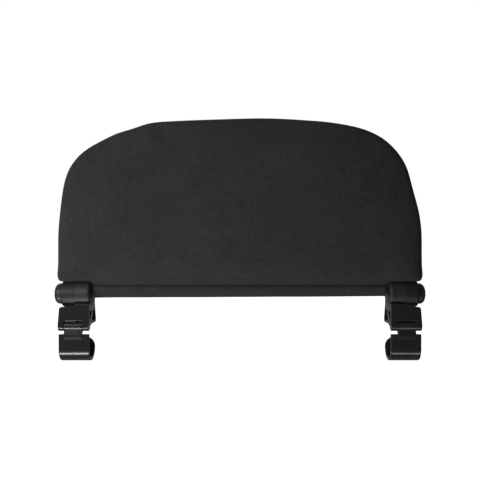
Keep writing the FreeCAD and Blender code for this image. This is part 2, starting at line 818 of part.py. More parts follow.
def make_hem_sleeve():
    """Stitched hem that hangs on the cross rod and closes the cover below."""
    body = add_body("hem_sleeve")
    wrap = "dims.rod_radius + dims.hem_fabric"
    length = "2 * dims.pad_middle"
    section = (
        (f"-({wrap})", "dims.hub_height"),
        (wrap, "dims.hub_height"),
        ("dims.hem_half_depth", "dims.seam_height"),
        ("-dims.hem_half_depth", "dims.seam_height"),
    )
    prism(body, "band", section, "-dims.pad_middle", length)
    disc(body, "wrap", HUB_AXIS, wrap, "-dims.pad_middle", length)
    disc(body, "rod_channel", HUB_AXIS, "dims.rod_radius", "-dims.pad_middle", length, cut)
    return body


def make_foam_sheet(label, back, front):
    """Foam sheet as large as the cover's inside, cut away around the bosses."""
    body = add_body(label)
    bottom = "dims.pad_corner_height + dims.fabric"
    slab(body, "sheet", flat_bottomed("dims.fabric", bottom), back, front)
    side = side_at("dims.fabric")
    top = "dims.boss_top + 0.5"
    for name, near, far in (("right", "dims.foam_notch", side),
                            ("left", f"-({side})", "-dims.foam_notch")):
        corners = [(near, bottom), (far, bottom), (far, top), (near, top)]
        slab(body, f"{name}_notch", (corners, {}), back, front, cut)
    return body


def make_inset_sheet(label, inset, back, front):
    """Sheet of the pad's outline moved inwards, between two depths."""
    body = add_body(label)
    bottom = "dims.pad_corner_height + dims.fabric"
    slab(body, "sheet", flat_bottomed(inset, bottom), back, front)
    return body


# ---------------------------------------------------------------- assembly

def make_parts():
    """Make every piece and return the document objects to be written."""
    parts = []
    for body in (make_tube_clip(), make_hinge_arm(), make_outer_hub(),
                 make_lock_gear(), make_push_button()):
        parts += [body, mirror_left(body)]
    for side in ("left", "right"):
        parts += [make_lock_spring(side), make_frame_screw(side)]

    pin = round_bar("pivot_pin_right", "dims.pivot_radius", "dims.ear_start",
                    "dims.arm_width", "dims.pivot_height", "dims.pivot_y")
    nut = round_bar("rod_nut_right", "dims.nut_radius", "dims.web_start + dims.web_wall",
                    "dims.nut_width", bore="dims.rod_radius")
    rod = round_bar("cross_rod", "dims.rod_radius", "-dims.rod_end", "2 * dims.rod_end")
    parts += [pin, mirror_left(pin), nut, mirror_left(nut), rod]

    skin = "(dims.pad_half_depth - dims.fabric)"
    core = "dims.core_half_depth"
    parts += [
        make_frame_arch(),
        make_fabric_cover(),
        make_hem_sleeve(),
        make_foam_sheet("foam_front", f"-{core}", f"-{skin}"),
        make_foam_sheet("foam_back", skin, f"{core} + dims.board_wall"),
        make_inset_sheet("foam_core", "dims.core_inset", core, f"-{core}"),
        make_inset_sheet("stiffener_board", "dims.board_inset",
                         f"{core} + dims.board_wall", core),
    ]
    return parts


def check_document(parts):
    """Stop at a failed object or at a shape that isn't one sound solid."""
    for item in doc.Objects:
        if {"Invalid", "Error"} & set(item.State):
            raise RuntimeError(f"{item.Name} failed: {item.State}")
    for item in parts:
        shape = item.Shape
        if shape.isNull() or not shape.isValid() or len(shape.Solids) != 1:
            raise RuntimeError(f"{item.Label} isn't one valid solid")


all_parts = make_parts()
doc.recompute()
check_document(all_parts)
os.makedirs("parts", exist_ok=True)
for item in all_parts:
    item.Shape.exportStep(f"parts/{item.Label}.step")
    box = item.Shape.BoundBox
    print(f"{item.Label:20s} {item.Shape.Volume / 1000:9.3f} cm3  "
          f"x {box.XMin:7.1f} {box.XMax:7.1f}  y {box.YMin:6.1f} {box.YMax:6.1f}  "
          f"z {box.ZMin:6.1f} {box.ZMax:6.1f}")
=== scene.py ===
"""Looks of a clip-on headrest: a padded fabric cover on two plastic lock hinges.

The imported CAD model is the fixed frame.  The cover, its hem, the stitching and
the foam are made here, and stand for their plain CAD solids.  The plastic and
steel pieces keep their CAD shapes and get materials.  Everything is in metres:
seen from the padded front, +X is to the right, +Y to the back and +Z up.
"""
import math
import random

import bmesh
import bpy
import numpy as np
from mathutils import Matrix, Vector, noise


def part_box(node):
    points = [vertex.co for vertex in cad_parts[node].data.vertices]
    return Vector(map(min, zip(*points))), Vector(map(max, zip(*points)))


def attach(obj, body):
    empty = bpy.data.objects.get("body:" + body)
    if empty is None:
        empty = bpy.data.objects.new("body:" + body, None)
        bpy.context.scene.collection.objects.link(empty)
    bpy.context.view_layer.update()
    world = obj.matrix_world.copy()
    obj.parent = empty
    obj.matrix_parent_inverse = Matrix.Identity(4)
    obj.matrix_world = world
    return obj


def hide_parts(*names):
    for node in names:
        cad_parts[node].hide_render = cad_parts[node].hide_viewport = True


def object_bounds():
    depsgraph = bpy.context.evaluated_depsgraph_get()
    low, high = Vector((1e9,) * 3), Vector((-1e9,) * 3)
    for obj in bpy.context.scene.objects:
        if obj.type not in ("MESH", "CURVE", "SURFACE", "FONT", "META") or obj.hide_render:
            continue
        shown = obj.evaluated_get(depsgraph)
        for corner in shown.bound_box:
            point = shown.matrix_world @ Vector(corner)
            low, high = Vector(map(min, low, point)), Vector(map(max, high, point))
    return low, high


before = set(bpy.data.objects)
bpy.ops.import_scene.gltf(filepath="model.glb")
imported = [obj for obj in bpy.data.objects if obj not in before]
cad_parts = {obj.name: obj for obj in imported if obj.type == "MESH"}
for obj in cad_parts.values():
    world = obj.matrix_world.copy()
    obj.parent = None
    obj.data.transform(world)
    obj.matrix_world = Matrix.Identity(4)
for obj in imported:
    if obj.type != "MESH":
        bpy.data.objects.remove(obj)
cad_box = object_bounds()

MM = 0.001
SIDES = ("left", "right")

# Places that the frame gives
HEM_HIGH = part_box("hem_sleeve")[1]
ROD_LOW, ROD_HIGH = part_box("cross_rod")
ROD_HEIGHT = (ROD_LOW.z + ROD_HIGH.z) / 2
SEAM_HEIGHT = HEM_HIGH.z
SEAM_HALF_LENGTH = HEM_HIGH.x
HUBS_BEYOND = SEAM_HALF_LENGTH + 1 * MM
SHOULDER_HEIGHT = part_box("outer_hub_left")[0].z + 4 * MM    # the arms are matt above it

# Camera and stage
VIEW_DISTANCE = 0.55
VIEW_ANGLE = math.radians(42.9)
FLOOR_DROP = 0.45
FLOOR_SIZE = 12.0
NEUTRAL, COOL = (1.0, 1.0, 0.985), (0.93, 0.96, 1.0)
OBJECT_MIDDLE = (cad_box[0] + cad_box[1]) / 2
LIGHTS = (
    # name, place, target, width, height, power in watts, colour
    ("key_left", (-0.46, -0.44, 0.25), (-0.05, 0, 0.10), 0.26, 0.22, 2.45, NEUTRAL),
    ("under_strip_left", (-0.24, -0.30, -0.34), (-0.15, -0.01, 0), 0.4, 0.06, 1.9, NEUTRAL),
    ("under_strip_right", (0.25, -0.30, -0.34), (0.15, -0.01, 0), 0.3, 0.05, 0.36, NEUTRAL),
    ("top_strip", (-0.15, -0.14, 0.70), OBJECT_MIDDLE, 0.8, 0.12, 0.8, COOL),
    ("back_light", (-0.15, 0.75, 0.55), OBJECT_MIDDLE, 0.7, 0.5, 3.2, NEUTRAL),
    ("fill_right", (0.8, -0.7, 0.2), OBJECT_MIDDLE, 0.5, 0.5, 0.03, NEUTRAL),
)
WORLD_BEHIND = 0.25
WORLD_IN_FRONT = 0.08
WORLD_BLEND = (-0.1, 0.7)

# Padded cover
COVER_VOXEL = 3.2 * MM
COVER_PROUD = 0.6 * MM
COVER_HALF_DEPTH = 9.3 * MM
COVER_EDGE_WIDTH = 12.0 * MM
NOTCH_EDGE_WIDTH = 2.2 * MM
COVER_SWELL_CAP = 3.0 * MM
HEM_TUCK = 0.9 * MM
NOTCH_SAG = 1.7 * MM
NOTCH_SETTLE = 3.0 * MM
NOTCH_BLEND = 4 * MM
NOTCH_FACING = (0.3, 0.95)
ON_THE_LINE = 0.5 * MM
OUTLINE_STEP = 3 * MM
SEWN_RIM = 3.0 * MM
UNEVEN_FILL = (
    # direction and spread in degrees, and how far the rim stands out there
    (146.0, 5.0, -2.6 * MM),
    (155.5, 5.5, -3.0 * MM),
    (171.5, 8.0, 2.6 * MM),
    (68.0, 28.0, 1.3 * MM),
    (29.0, 8.0, 2.4 * MM),
    (4.0, 7.0, -1.6 * MM),
    (-23.0, 2.5, 1.3 * MM),
    (203.0, 2.5, 1.3 * MM),
)
CLOTH_FRAMES = 20
CLOTH_PRESSURE = 4.0
CLOTH_SETTINGS = {
    "quality": 6,
    "mass": 0.25,
    "tension_stiffness": 18,
    "compression_stiffness": 18,
    "shear_stiffness": 8,
    "bending_stiffness": 1.5,
}
COVER_WAVES = (
    # patch size and height
    (48 * MM, 0.30 * MM),
    (15 * MM, 0.10 * MM),
)
PUCKER_DEPTH = 0.35 * MM
PUCKER_REACH = 9.0 * MM
PUCKER_WIDTH = 5.5 * MM
PUCKER_STRETCH = (1.0, 0.5, 0.12)
PUCKER_FADE = 5 * MM
EDGE_SEAM_DEPTH = 0.5 * MM
EDGE_SEAM_WIDTH = 1.3 * MM
EDGE_SEAM_REACH = 4 * MM
EDGE_SEAM_STARTS, EDGE_SEAM_FULL = SEAM_HEIGHT + 9 * MM, SEAM_HEIGHT + 16 * MM
EDGE_SEAM_PATCH = 4 * MM
EDGE_SEAM_UNEVEN = 0.35

# Foam inside the cover
FOAM_VOXEL = 1.9 * MM
FOAM_RIM_GAP = 4.0 * MM
FOAM_CLEARANCE = 0.8 * MM

# Hem and stitches
HEM_STEP = 2.0 * MM
HEM_OVERLAP = 1.6 * MM
HEM_SLACK = 0.7 * MM
HEM_REACH = SEAM_HALF_LENGTH + 1.1 * MM
HEM_BELOW_SEAM = (
    # depth from the middle, and height above the seam
    (2.2 * MM, HEM_OVERLAP),
    (3.0 * MM, 0.4 * MM),
    (4.7 * MM, -1.0 * MM),
    (5.3 * MM, -3.0 * MM),
)
HEM_BESIDE_ROD = (
    # depth from the middle, and height above the rod
    (5.0 * MM, 2.4 * MM),
    (3.9 * MM, -0.3 * MM),
)
HEM_ROD_GAP = 0.9 * MM
HEM_TURN_DEPTH = 1.1
HEM_TURN_DROP = 0.2 * MM
HEM_TURN_ANGLES = np.linspace(math.radians(35), math.radians(90), 5)
HEM_WAVE, HEM_WAVE_SIZE = 0.35 * MM, 34 * MM
HEM_GATHER, HEM_GATHER_SIZE = 0.22 * MM, 4.5 * MM
HEM_SAG, HEM_SAG_SIZE = 0.25 * MM, 42 * MM
STITCH_PITCH = 3.2 * MM
STITCH_LENGTH = 2.3 * MM
STITCH_SHIFT = 0.15 * MM
STITCH_RISE = 0.12 * MM
STITCH_TILT = 0.09
STITCH_ABOVE_SEAM = 0.5 * MM
THREAD_RADIUS = 0.28 * MM
THREAD_PROUD = 0.05 * MM
THREAD_RINGS, THREAD_SIDES = 7, 8


# ------------------------------------------------------------ small helpers

def add_object(name, mesh):
    piece = bpy.data.objects.new(name, mesh)
    bpy.context.scene.collection.objects.link(piece)
    return piece


def select_only(piece):
    bpy.ops.object.select_all(action="DESELECT")
    piece.select_set(True)
    bpy.context.view_layer.objects.active = piece


def coordinates(piece):
    """The piece's vertices as an array, one row each."""
    flat = np.empty(len(piece.data.vertices) * 3, np.float32)
    piece.data.vertices.foreach_get("co", flat)
    return flat.reshape(-1, 3).astype(float)


def set_coordinates(piece, points):
    piece.data.vertices.foreach_set("co", points.astype(np.float32).ravel())
    piece.data.update()


def subdivide(piece, levels=1):
    modifier = piece.modifiers.new("smooth", "SUBSURF")
    modifier.levels = modifier.render_levels = levels
    select_only(piece)
    bpy.ops.object.modifier_apply(modifier=modifier.name)


def smooth_step(low, high, value):
    """0 below low, 1 above high and an even curve between, for arrays."""
    share = np.clip((value - low) / (high - low), 0, 1)
    return share * share * (3 - 2 * share)


def finish_piece(piece, body, material):
    piece.data.materials.clear()
    piece.data.materials.append(material)
    piece.data.polygons.foreach_set("use_smooth", [True] * len(piece.data.polygons))
    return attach(piece, body)


# --------------------------------------------------------------- materials

class Shader:
    """A node material that is built with short calls."""

    def __init__(self, name, colour, roughness, **sockets):
        self.material = bpy.data.materials.new(name)
        self.material.use_nodes = True
        self.tree = self.material.node_tree
        self.surface = self.tree.nodes["Principled BSDF"]
        self.set(self.surface, "Base Color", (*colour, 1))
        self.set(self.surface, "Roughness", roughness)
        for socket, value in sockets.items():
            self.set(self.surface, socket.replace("_", " "), value)

    def set(self, node, socket, value):
        """Give a socket a value, or link another node's output to it."""
        if isinstance(value, bpy.types.NodeSocket):
            self.tree.links.new(value, node.inputs[socket])
        else:
            node.inputs[socket].default_value = value

    def node(self, kind, output=0, settings=None, **sockets):
        made = self.tree.nodes.new(f"ShaderNode{kind}")
        for name, value in (settings or {}).items():
            setattr(made, name, value)
        for socket, value in sockets.items():
            self.set(made, int(socket[1:]) if socket[0] == "i" and socket[1:].isdigit()
                     else socket.replace("_", " "), value)
        return made.outputs[output]

    def math(self, operation, first, second=0.0, third=0.0):
        return self.node("Math", settings={"operation": operation},
                         i0=first, i1=second, i2=third)

    def place(self):
        """The point on the piece at rest, in millimetres."""
        here = self.node("TexCoord", output="Object")
        return self.node("VectorMath", settings={"operation": "SCALE"}, i0=here, Scale=1000.0)

    def speckle(self, place, size, detail=2.0, roughness=0.5):
        """Noise from 0 to 1 whose patches are about size millimetres wide."""
        return self.node("TexNoise", Vector=place, Scale=1.0 / size, Detail=detail,
                         Roughness=roughness)

    def spread(self, value, low, high, start=0.3, end=0.7):
        """Map a noise value to the range from low to high."""
        return self.node("MapRange", Value=value, From_Min=start, From_Max=end,
                         To_Min=low, To_Max=high)

    def colours(self, factor, dark, light):
        ramp = self.tree.nodes.new("ShaderNodeMix")
        ramp.data_type = "RGBA"
        self.set(ramp, 0, factor)
        self.set(ramp, 6, (*dark, 1))
        self.set(ramp, 7, (*light, 1))
        return ramp.outputs[2]

    def bump(self, height, distance, strength=1.0, under=None):
        """Bump from a height that 1 lifts by distance millimetres."""
        made = self.tree.nodes.new("ShaderNodeBump")
        self.set(made, "Strength", strength)
        self.set(made, "Distance", distance * MM)
        self.set(made, "Height", height)
        if under is not None:
            self.set(made, "Normal", under)
        return made.outputs[0]


def weave(shader, place, pitch):
    """Plain weave of threads pitch millimetres apart, on whichever way a face looks."""
    split = shader.tree.nodes.new("ShaderNodeSeparateXYZ")
    shader.set(split, 0, place)
    waves = [shader.math("SINE", shader.math("MULTIPLY", axis, math.pi / pitch))
             for axis in split.outputs]
    facing = shader.tree.nodes.new("ShaderNodeSeparateXYZ")
    shader.set(facing, 0, shader.node("TexCoord", output="Normal"))
    total = None
    for across, (first, second) in enumerate(((1, 2), (0, 2), (0, 1))):
        crossing = shader.math("MULTIPLY", waves[first], waves[second])
        share = shader.math("POWER", shader.math("ABSOLUTE", facing.outputs[across]), 3.0)
        part = shader.math("MULTIPLY", crossing, share)
        total = part if total is None else shader.math("ADD", total, part)
    return total


def cover_cloth():
    """Matt black polyester: a plain weave with slubs along both thread directions."""
    shader = Shader("cover_cloth", (0.022, 0.0235, 0.0228), 0.85,
                    Sheen_Weight=0.07, Sheen_Roughness=0.45,
                    Sheen_Tint=(0.60, 0.55, 0.95, 1), Specular_IOR_Level=0.25)
    place = shader.place()
    threads = weave(shader, place, 0.8)
    heather = shader.speckle(place, 2.2, detail=3.0, roughness=0.75)
    clouds = shader.speckle(place, 30.0)
    mottle = shader.math("ADD", shader.spread(heather, 0.0, 0.46),
                         shader.spread(clouds, 0.0, 0.16))
    for stretch in ((0.12, 1.0, 1.1), (1.1, 1.0, 0.12)):
        yarns = shader.node("TexNoise", Vector=shader.node(
            "VectorMath", settings={"operation": "MULTIPLY"}, i0=place, i1=stretch),
            Scale=1.0, Detail=1.0)
        mottle = shader.math("ADD", mottle, shader.spread(yarns, 0.0, 0.21))
    mottle = shader.math("ADD", mottle, shader.math("MULTIPLY", threads, 0.15))
    colour = shader.colours(mottle, (0.0074, 0.0086, 0.0081), (0.0362, 0.0394, 0.0381))
    shader.set(shader.surface, "Base Color", colour)
    shader.set(shader.surface, "Roughness", shader.spread(heather, 0.78, 0.92))
    coarse = shader.bump(heather, 0.16, 0.6)
    shader.set(shader.surface, "Normal", shader.bump(threads, 0.14, 0.7, under=coarse))
    return shader.material


def thread():
    shader = Shader("seam_thread", (0.010, 0.011, 0.011), 0.6, Sheen_Weight=0.1)
    place = shader.place()
    twist = shader.node("TexWave", settings={"bands_direction": "DIAGONAL"},
                        Vector=place, Scale=1.6, Distortion=1.0)
    shader.set(shader.surface, "Base Color",
               shader.colours(twist, (0.006, 0.007, 0.007), (0.016, 0.017, 0.017)))
    shader.set(shader.surface, "Normal", shader.bump(twist, 0.05))
    return shader.material


def moulded(name, colour, roughness, grain, grain_depth, gloss=0.5, edge_wear_and_highlight=0.35, matt_above=None):
    """Moulded plastic: fine spark-eroded grain, slow waviness, and convex edges painted lighter,
    partly as rubbed wear and partly as a painted edge highlight.

    Grain sizes are in millimetres.  gloss is the specular level; the next argument sets how
    much lighter the convex edges are painted, as wear and as a painted highlight.  Above the
    height matt_above, in millimetres, the mould was rougher.
    """
    shader = Shader(name, colour, roughness, Specular_IOR_Level=gloss)
    place = shader.place()
    fine = shader.speckle(place, grain, detail=1.0)
    slow = shader.speckle(place, 7.0, detail=2.0)
    scuffs = shader.node("TexNoise", Vector=shader.node(
        "VectorMath", settings={"operation": "MULTIPLY"}, i0=place, i1=(0.12, 1.0, 2.2)),
        Scale=0.9, Detail=3.0)
    # Convex edges are painted lighter: partly rubbed wear, partly a painted highlight along the
    # edges.
    edges = shader.node("NewGeometry", output="Pointiness")
    worn_and_highlit_edges = shader.math("MULTIPLY", shader.spread(edges, 0.0, 1.0, 0.52, 0.60),
                         shader.spread(slow, 0.2, 1.0))
    light = tuple(min(1.0, value * 2.6 + 0.006) for value in colour)
    shader.set(shader.surface, "Base Color",
               shader.colours(shader.math("MULTIPLY", worn_and_highlit_edges, edge_wear_and_highlight), colour, light))
    matt = shader.math("ADD", shader.spread(slow, roughness - 0.008, roughness + 0.008),
                       shader.spread(scuffs, 0.0, 0.012, 0.45, 0.75))
    if matt_above is not None:
        split = shader.tree.nodes.new("ShaderNodeSeparateXYZ")
        shader.set(split, 0, place)
        rougher = shader.spread(split.outputs["Z"], 0.0, 0.26, matt_above - 1.5, matt_above + 1.5)
        matt = shader.math("ADD", matt, rougher)
    shader.set(shader.surface, "Roughness", matt)
    wavy = shader.bump(slow, 0.03, 0.15)
    shader.set(shader.surface, "Normal", shader.bump(fine, grain_depth, 0.5, under=wavy))
    return shader.material


def metal(name, colour, roughness, brushed):
    """Steel with fine drawing lines along X and a few darker specks."""
    shader = Shader(name, colour, roughness, Metallic=1.0)
    place = shader.place()
    stretched = shader.node("VectorMath", settings={"operation": "MULTIPLY"},
                            i0=place, i1=(0.15, 3.0, 3.0))
    lines = shader.node("TexNoise", Vector=stretched, Scale=2.0, Detail=4.0)
    specks = shader.speckle(place, 0.8, detail=3.0, roughness=0.7)
    dull = tuple(value * 0.6 for value in colour)
    shader.set(shader.surface, "Base Color",
               shader.colours(shader.spread(specks, 0.2, 1.0), dull, colour))
    shader.set(shader.surface, "Roughness",
               shader.spread(lines, roughness - 0.06, roughness + 0.08))
    shader.set(shader.surface, "Normal", shader.bump(lines, brushed, 0.5))
    return shader.material


def foam():
    """Open-cell polyurethane foam, off-white."""
    shader = Shader("cut_foam", (0.62, 0.60, 0.52), 0.95, Specular_IOR_Level=0.2)
    place = shader.place()
    cells = shader.node("TexVoronoi", Vector=place, Scale=1.4)
    tone = shader.speckle(place, 18.0)
    mixed = shader.math("ADD", shader.spread(tone, 0.0, 0.6), shader.math("MULTIPLY", cells, 0.4))
    shader.set(shader.surface, "Base Color",
               shader.colours(mixed, (0.50, 0.47, 0.38), (0.70, 0.68, 0.60)))
    shader.set(shader.surface, "Normal", shader.bump(cells, 0.35, 0.8))
    return shader.material


def fibre_board():
    """Grey-brown pressed board with short fibres."""
    shader = Shader("pressed_board", (0.25, 0.21, 0.16), 0.8)
    place = shader.place()
    fibres = shader.node("TexNoise", Vector=shader.node(
        "VectorMath", settings={"operation": "MULTIPLY"}, i0=place, i1=(0.25, 1.0, 1.0)),
        Scale=1.2, Detail=5.0, Roughness=0.7)
    shader.set(shader.surface, "Base Color",
               shader.colours(shader.spread(fibres, 0.0, 1.0),
                              (0.16, 0.13, 0.10), (0.33, 0.29, 0.23)))
    shader.set(shader.surface, "Normal", shader.bump(fibres, 0.15, 0.5))
    return shader.material


# ----------------------------------------------------------- padded cover

def front_outline(node):
    """Corners (x, z) of a flat-fronted CAD node's front face, in order round it."""
    low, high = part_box(node)
    middle = (low + high) / 2
    found = {(round(vertex.co.x, 6), round(vertex.co.z, 6))
             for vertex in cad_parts[node].data.vertices
             if vertex.co.y < low.y + 0.01 * MM}
    return sorted(found, key=lambda point: math.atan2(point[1] - middle.z, point[0] - middle.x))


def notch_height(corners):
    """Height of the outline's two notches above the hubs."""
    return min(z for x, z in corners if abs(x) > HUBS_BEYOND)


def cover_outline():
    """The cover's outline: fuller than the CAD's, tucked into the hem, close over the hubs."""
    low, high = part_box("fabric_cover")
    middle = Vector((0, (low.z + high.z) / 2))
    corners = front_outline("fabric_cover")
    notch = notch_height(corners)
    points = []
    for x, z in even_outline(corners, OUTLINE_STEP):
        if z < SEAM_HEIGHT + ON_THE_LINE:
            points.append((x, z - HEM_TUCK))
        elif z < notch + ON_THE_LINE:
            points.append((x, z - NOTCH_SAG))
        else:
            away = Vector((x, z)) - middle
            direction = (math.degrees(math.atan2(away.y, away.x)) + 90) % 360 - 90
            out = COVER_PROUD + uneven_fill(direction)
            points.append(tuple(Vector((x, z)) + away.normalized() * out))
    return points


def uneven_fill(direction):
    """How far the padding pushes the rim out in that direction, in degrees from +X."""
    return sum(push * math.exp(-((direction - centre) / spread) ** 2)
               for centre, spread, push in UNEVEN_FILL)


def even_outline(corners, spacing):
    """The same closed outline with points about spacing apart."""
    points = []
    for start, end in zip(corners, corners[1:] + corners[:1]):
        start, end = Vector(start), Vector(end)
        count = max(1, round((end - start).length / spacing))
        points += [tuple(start.lerp(end, step / count)) for step in range(count)]
    return points


def nearest_on_outline(points, outline):
    """For each (x, z) point, its distance inside the outline and the way inwards."""
    corners = np.array(outline)
    sides = np.roll(corners, -1, axis=0) - corners
    lengths = np.linalg.norm(sides, axis=1)
    inward = np.stack((-sides[:, 1], sides[:, 0]), axis=1) / lengths[:, None]
    best = np.full(len(points), np.inf)
    way = np.zeros((len(points), 2))
    for corner, side, length, normal in zip(corners, sides, lengths, inward):
        offset = points - corner
        share = np.clip(offset @ side / length ** 2, 0, 1)
        gap = offset - share[:, None] * side
        distance = np.linalg.norm(gap, axis=1)
        closer = distance < best
        best[closer] = distance[closer]
        way[closer] = normal
    return best, way


def prism(name, outline, half_depth):
    """Closed prism of an (x, z) outline about the plane y = 0."""
    shape = bmesh.new()
    rings = [[shape.verts.new((x, y, z)) for x, z in outline] for y in (-half_depth, half_depth)]
    count = len(outline)
    for step in range(count):
        after = (step + 1) % count
        shape.faces.new((rings[0][step], rings[0][after], rings[1][after], rings[1][step]))
    shape.faces.new(rings[0])
    shape.faces.new(reversed(rings[1]))
    bmesh.ops.recalc_face_normals(shape, faces=shape.faces)
    mesh = bpy.data.meshes.new(name)
    shape.to_mesh(mesh)
    shape.free()
    return add_object(name, mesh)


def voxel_remesh(piece, size):
    modifier = piece.modifiers.new("remesh", "REMESH")
    modifier.mode = "VOXEL"
    modifier.voxel_size = size
    select_only(piece)
    bpy.ops.object.modifier_apply(modifier=modifier.name)


def round_the_rim(piece, outline):
    """Turn the prism's square rim into half an ellipse, narrow above the hubs."""
    points = coordinates(piece)
    distance, inward = nearest_on_outline(points[:, [0, 2]], outline)
    above_hub = smooth_step(SEAM_HALF_LENGTH - NOTCH_BLEND, SEAM_HALF_LENGTH + NOTCH_BLEND,
                            np.abs(points[:, 0])) * smooth_step(*NOTCH_FACING, inward[:, 1])
    width = COVER_EDGE_WIDTH + (NOTCH_EDGE_WIDTH - COVER_EDGE_WIDTH) * above_hub
    near = distance < width
    distance, inward, width = distance[near], inward[near], width[near]
    out = 1 - distance / width
    up = np.clip(np.abs(points[near, 1]) / COVER_HALF_DEPTH, 0, 1)
    size = np.maximum(np.hypot(out, up), 1e-9)
    shift = (1 - out / size) * width - distance
    points[near, 0] += inward[:, 0] * shift
    points[near, 2] += inward[:, 1] * shift
    points[near, 1] = np.sign(points[near, 1]) * up / size * COVER_HALF_DEPTH
    set_coordinates(piece, points)


def inflate(piece, outline, cap):
    """Blow the closed cover up as cloth, held along its sewn rim, and cap its motion."""
    start = coordinates(piece)
    distance, _ = nearest_on_outline(start[:, [0, 2]], outline)
    rim = piece.vertex_groups.new(name="sewn_rim")
    rim.add([int(index) for index in np.flatnonzero(distance < SEWN_RIM)], 1.0, "REPLACE")
    cloth = piece.modifiers.new("cloth", "CLOTH")
    settings = cloth.settings
    settings.vertex_group_mass = rim.name
    for name, value in CLOTH_SETTINGS.items():
        setattr(settings, name, value)
    settings.use_pressure = True
    settings.uniform_pressure_force = CLOTH_PRESSURE
    settings.effector_weights.gravity = 0
    scene = bpy.context.scene
    for step in range(1, CLOTH_FRAMES + 1):
        scene.frame_set(step)
    select_only(piece)
    bpy.ops.object.modifier_apply(modifier=cloth.name)
    piece.vertex_groups.clear()
    scene.frame_set(1)
    moved = coordinates(piece) - start
    length = np.linalg.norm(moved, axis=1)
    moved *= np.minimum(1, cap / np.maximum(length, 1e-9))[:, None]
    set_coordinates(piece, start + moved)


def noise_at(points, size, seed):
    """Smooth noise from about -1 to 1 at each point, with patches of that size."""
    offset = Vector((seed * 17.3, seed * 5.1, seed * 9.7))
    return np.array([noise.noise(Vector(point) / size + offset) for point in points])


def drape_details(piece, outline):
    """Waves in the cloth, puckers above the seam, rims settled on the hubs, the edge seam."""
    points = coordinates(piece)
    distance, inward = nearest_on_outline(points[:, [0, 2]], outline)
    side = np.sign(points[:, 1])
    depth_share = np.clip(np.abs(points[:, 1]) / COVER_HALF_DEPTH, 0, 1)

    for seed, (size, height) in enumerate(COVER_WAVES, start=1):
        points[:, 1] += side * depth_share * noise_at(points, size, seed) * height

    above = points[:, 2] - SEAM_HEIGHT
    over_hem = 1 - smooth_step(SEAM_HALF_LENGTH, SEAM_HALF_LENGTH + PUCKER_FADE,
                               np.abs(points[:, 0]))
    reach = np.exp(-np.clip(above, 0, None) / PUCKER_REACH) * over_hem
    along = points * np.array(PUCKER_STRETCH)
    points[:, 1] += side * depth_share * reach * noise_at(along, PUCKER_WIDTH, 3) * PUCKER_DEPTH

    lift = points[:, 2] - notch_height(outline)
    over_hub = np.abs(points[:, 0]) > HUBS_BEYOND
    settled = over_hub & (lift > 0) & (lift < NOTCH_SETTLE)
    points[settled, 2] += lift[settled] ** 2 / NOTCH_SETTLE - lift[settled]

    groove = np.exp(-(points[:, 1] / EDGE_SEAM_WIDTH) ** 2) * (distance < EDGE_SEAM_REACH)
    groove *= smooth_step(EDGE_SEAM_STARTS, EDGE_SEAM_FULL, points[:, 2])
    groove *= EDGE_SEAM_DEPTH * (1 + EDGE_SEAM_UNEVEN * noise_at(points, EDGE_SEAM_PATCH, 4))
    points[:, 0] += inward[:, 0] * groove
    points[:, 2] += inward[:, 1] * groove
    set_coordinates(piece, points)


def make_cover(material, outline):
    """The sewn cover: rounded rim, blown up as cloth over its foam, then detailed."""
    piece = prism("headrest_cover", outline, COVER_HALF_DEPTH)
    voxel_remesh(piece, COVER_VOXEL)
    round_the_rim(piece, outline)
    inflate(piece, outline, COVER_SWELL_CAP)
    subdivide(piece)
    drape_details(piece, outline)
    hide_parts("fabric_cover")
    return finish_piece(piece, "headrest", material)


# ------------------------------------------------------- hem and stitches

def hem_section():
    """Half of the hem's outline, front side only, as (depth, height) from the top."""
    wrap = (ROD_HIGH.z - ROD_LOW.z) / 2 + HEM_ROD_GAP
    bottom = ROD_HEIGHT - wrap
    side = [(depth, SEAM_HEIGHT + height) for depth, height in HEM_BELOW_SEAM]
    side += [(depth, ROD_HEIGHT + height) for depth, height in HEM_BESIDE_ROD]
    turn = [(wrap * HEM_TURN_DEPTH * math.cos(angle),
             ROD_HEIGHT - HEM_TURN_DROP - wrap * math.sin(angle))
            for angle in HEM_TURN_ANGLES]
    return side + [(depth, max(height, bottom)) for depth, height in turn]


def make_hem(material):
    """The hem: a soft band under the seam that wraps the cross rod."""
    front = hem_section()
    ring = [(-depth, height) for depth, height in front]
    ring += [(depth, height) for depth, height in reversed(front[:-1])]
    steps = round(2 * HEM_REACH / HEM_STEP)
    stations = [HEM_REACH * (2 * step / steps - 1) for step in range(steps + 1)]
    shape = bmesh.new()
    rings = [[shape.verts.new((x, y, z)) for y, z in ring] for x in stations]
    for near, far in zip(rings, rings[1:]):
        for step in range(len(ring)):
            after = (step + 1) % len(ring)
            shape.faces.new((near[step], near[after], far[after], far[step]))
    shape.faces.new(rings[0])
    shape.faces.new(reversed(rings[-1]))
    bmesh.ops.recalc_face_normals(shape, faces=shape.faces)
    mesh = bpy.data.meshes.new("hem_sleeve_cloth")
    shape.to_mesh(mesh)
    shape.free()
    piece = add_object("hem_sleeve_cloth", mesh)
    subdivide(piece)

    points = coordinates(piece)
    down = smooth_step(0, SEAM_HEIGHT - ROD_HEIGHT, SEAM_HEIGHT - points[:, 2])
    side = np.sign(points[:, 1])
    along = points * np.array((1, 0, 0))
    points[:, 1] += side * noise_at(points, HEM_WAVE_SIZE, 5) * HEM_WAVE
    points[:, 1] += side * (1 - down) * noise_at(points, HEM_GATHER_SIZE, 6) * HEM_GATHER
    points[:, 2] += down * noise_at(along, HEM_SAG_SIZE, 7) * HEM_SAG
    points[:, 2] -= down * HEM_SLACK * (1 - points[:, 0] / SEAM_HALF_LENGTH)
    set_coordinates(piece, points)
    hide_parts("hem_sleeve")
    return finish_piece(piece, "headrest", material)


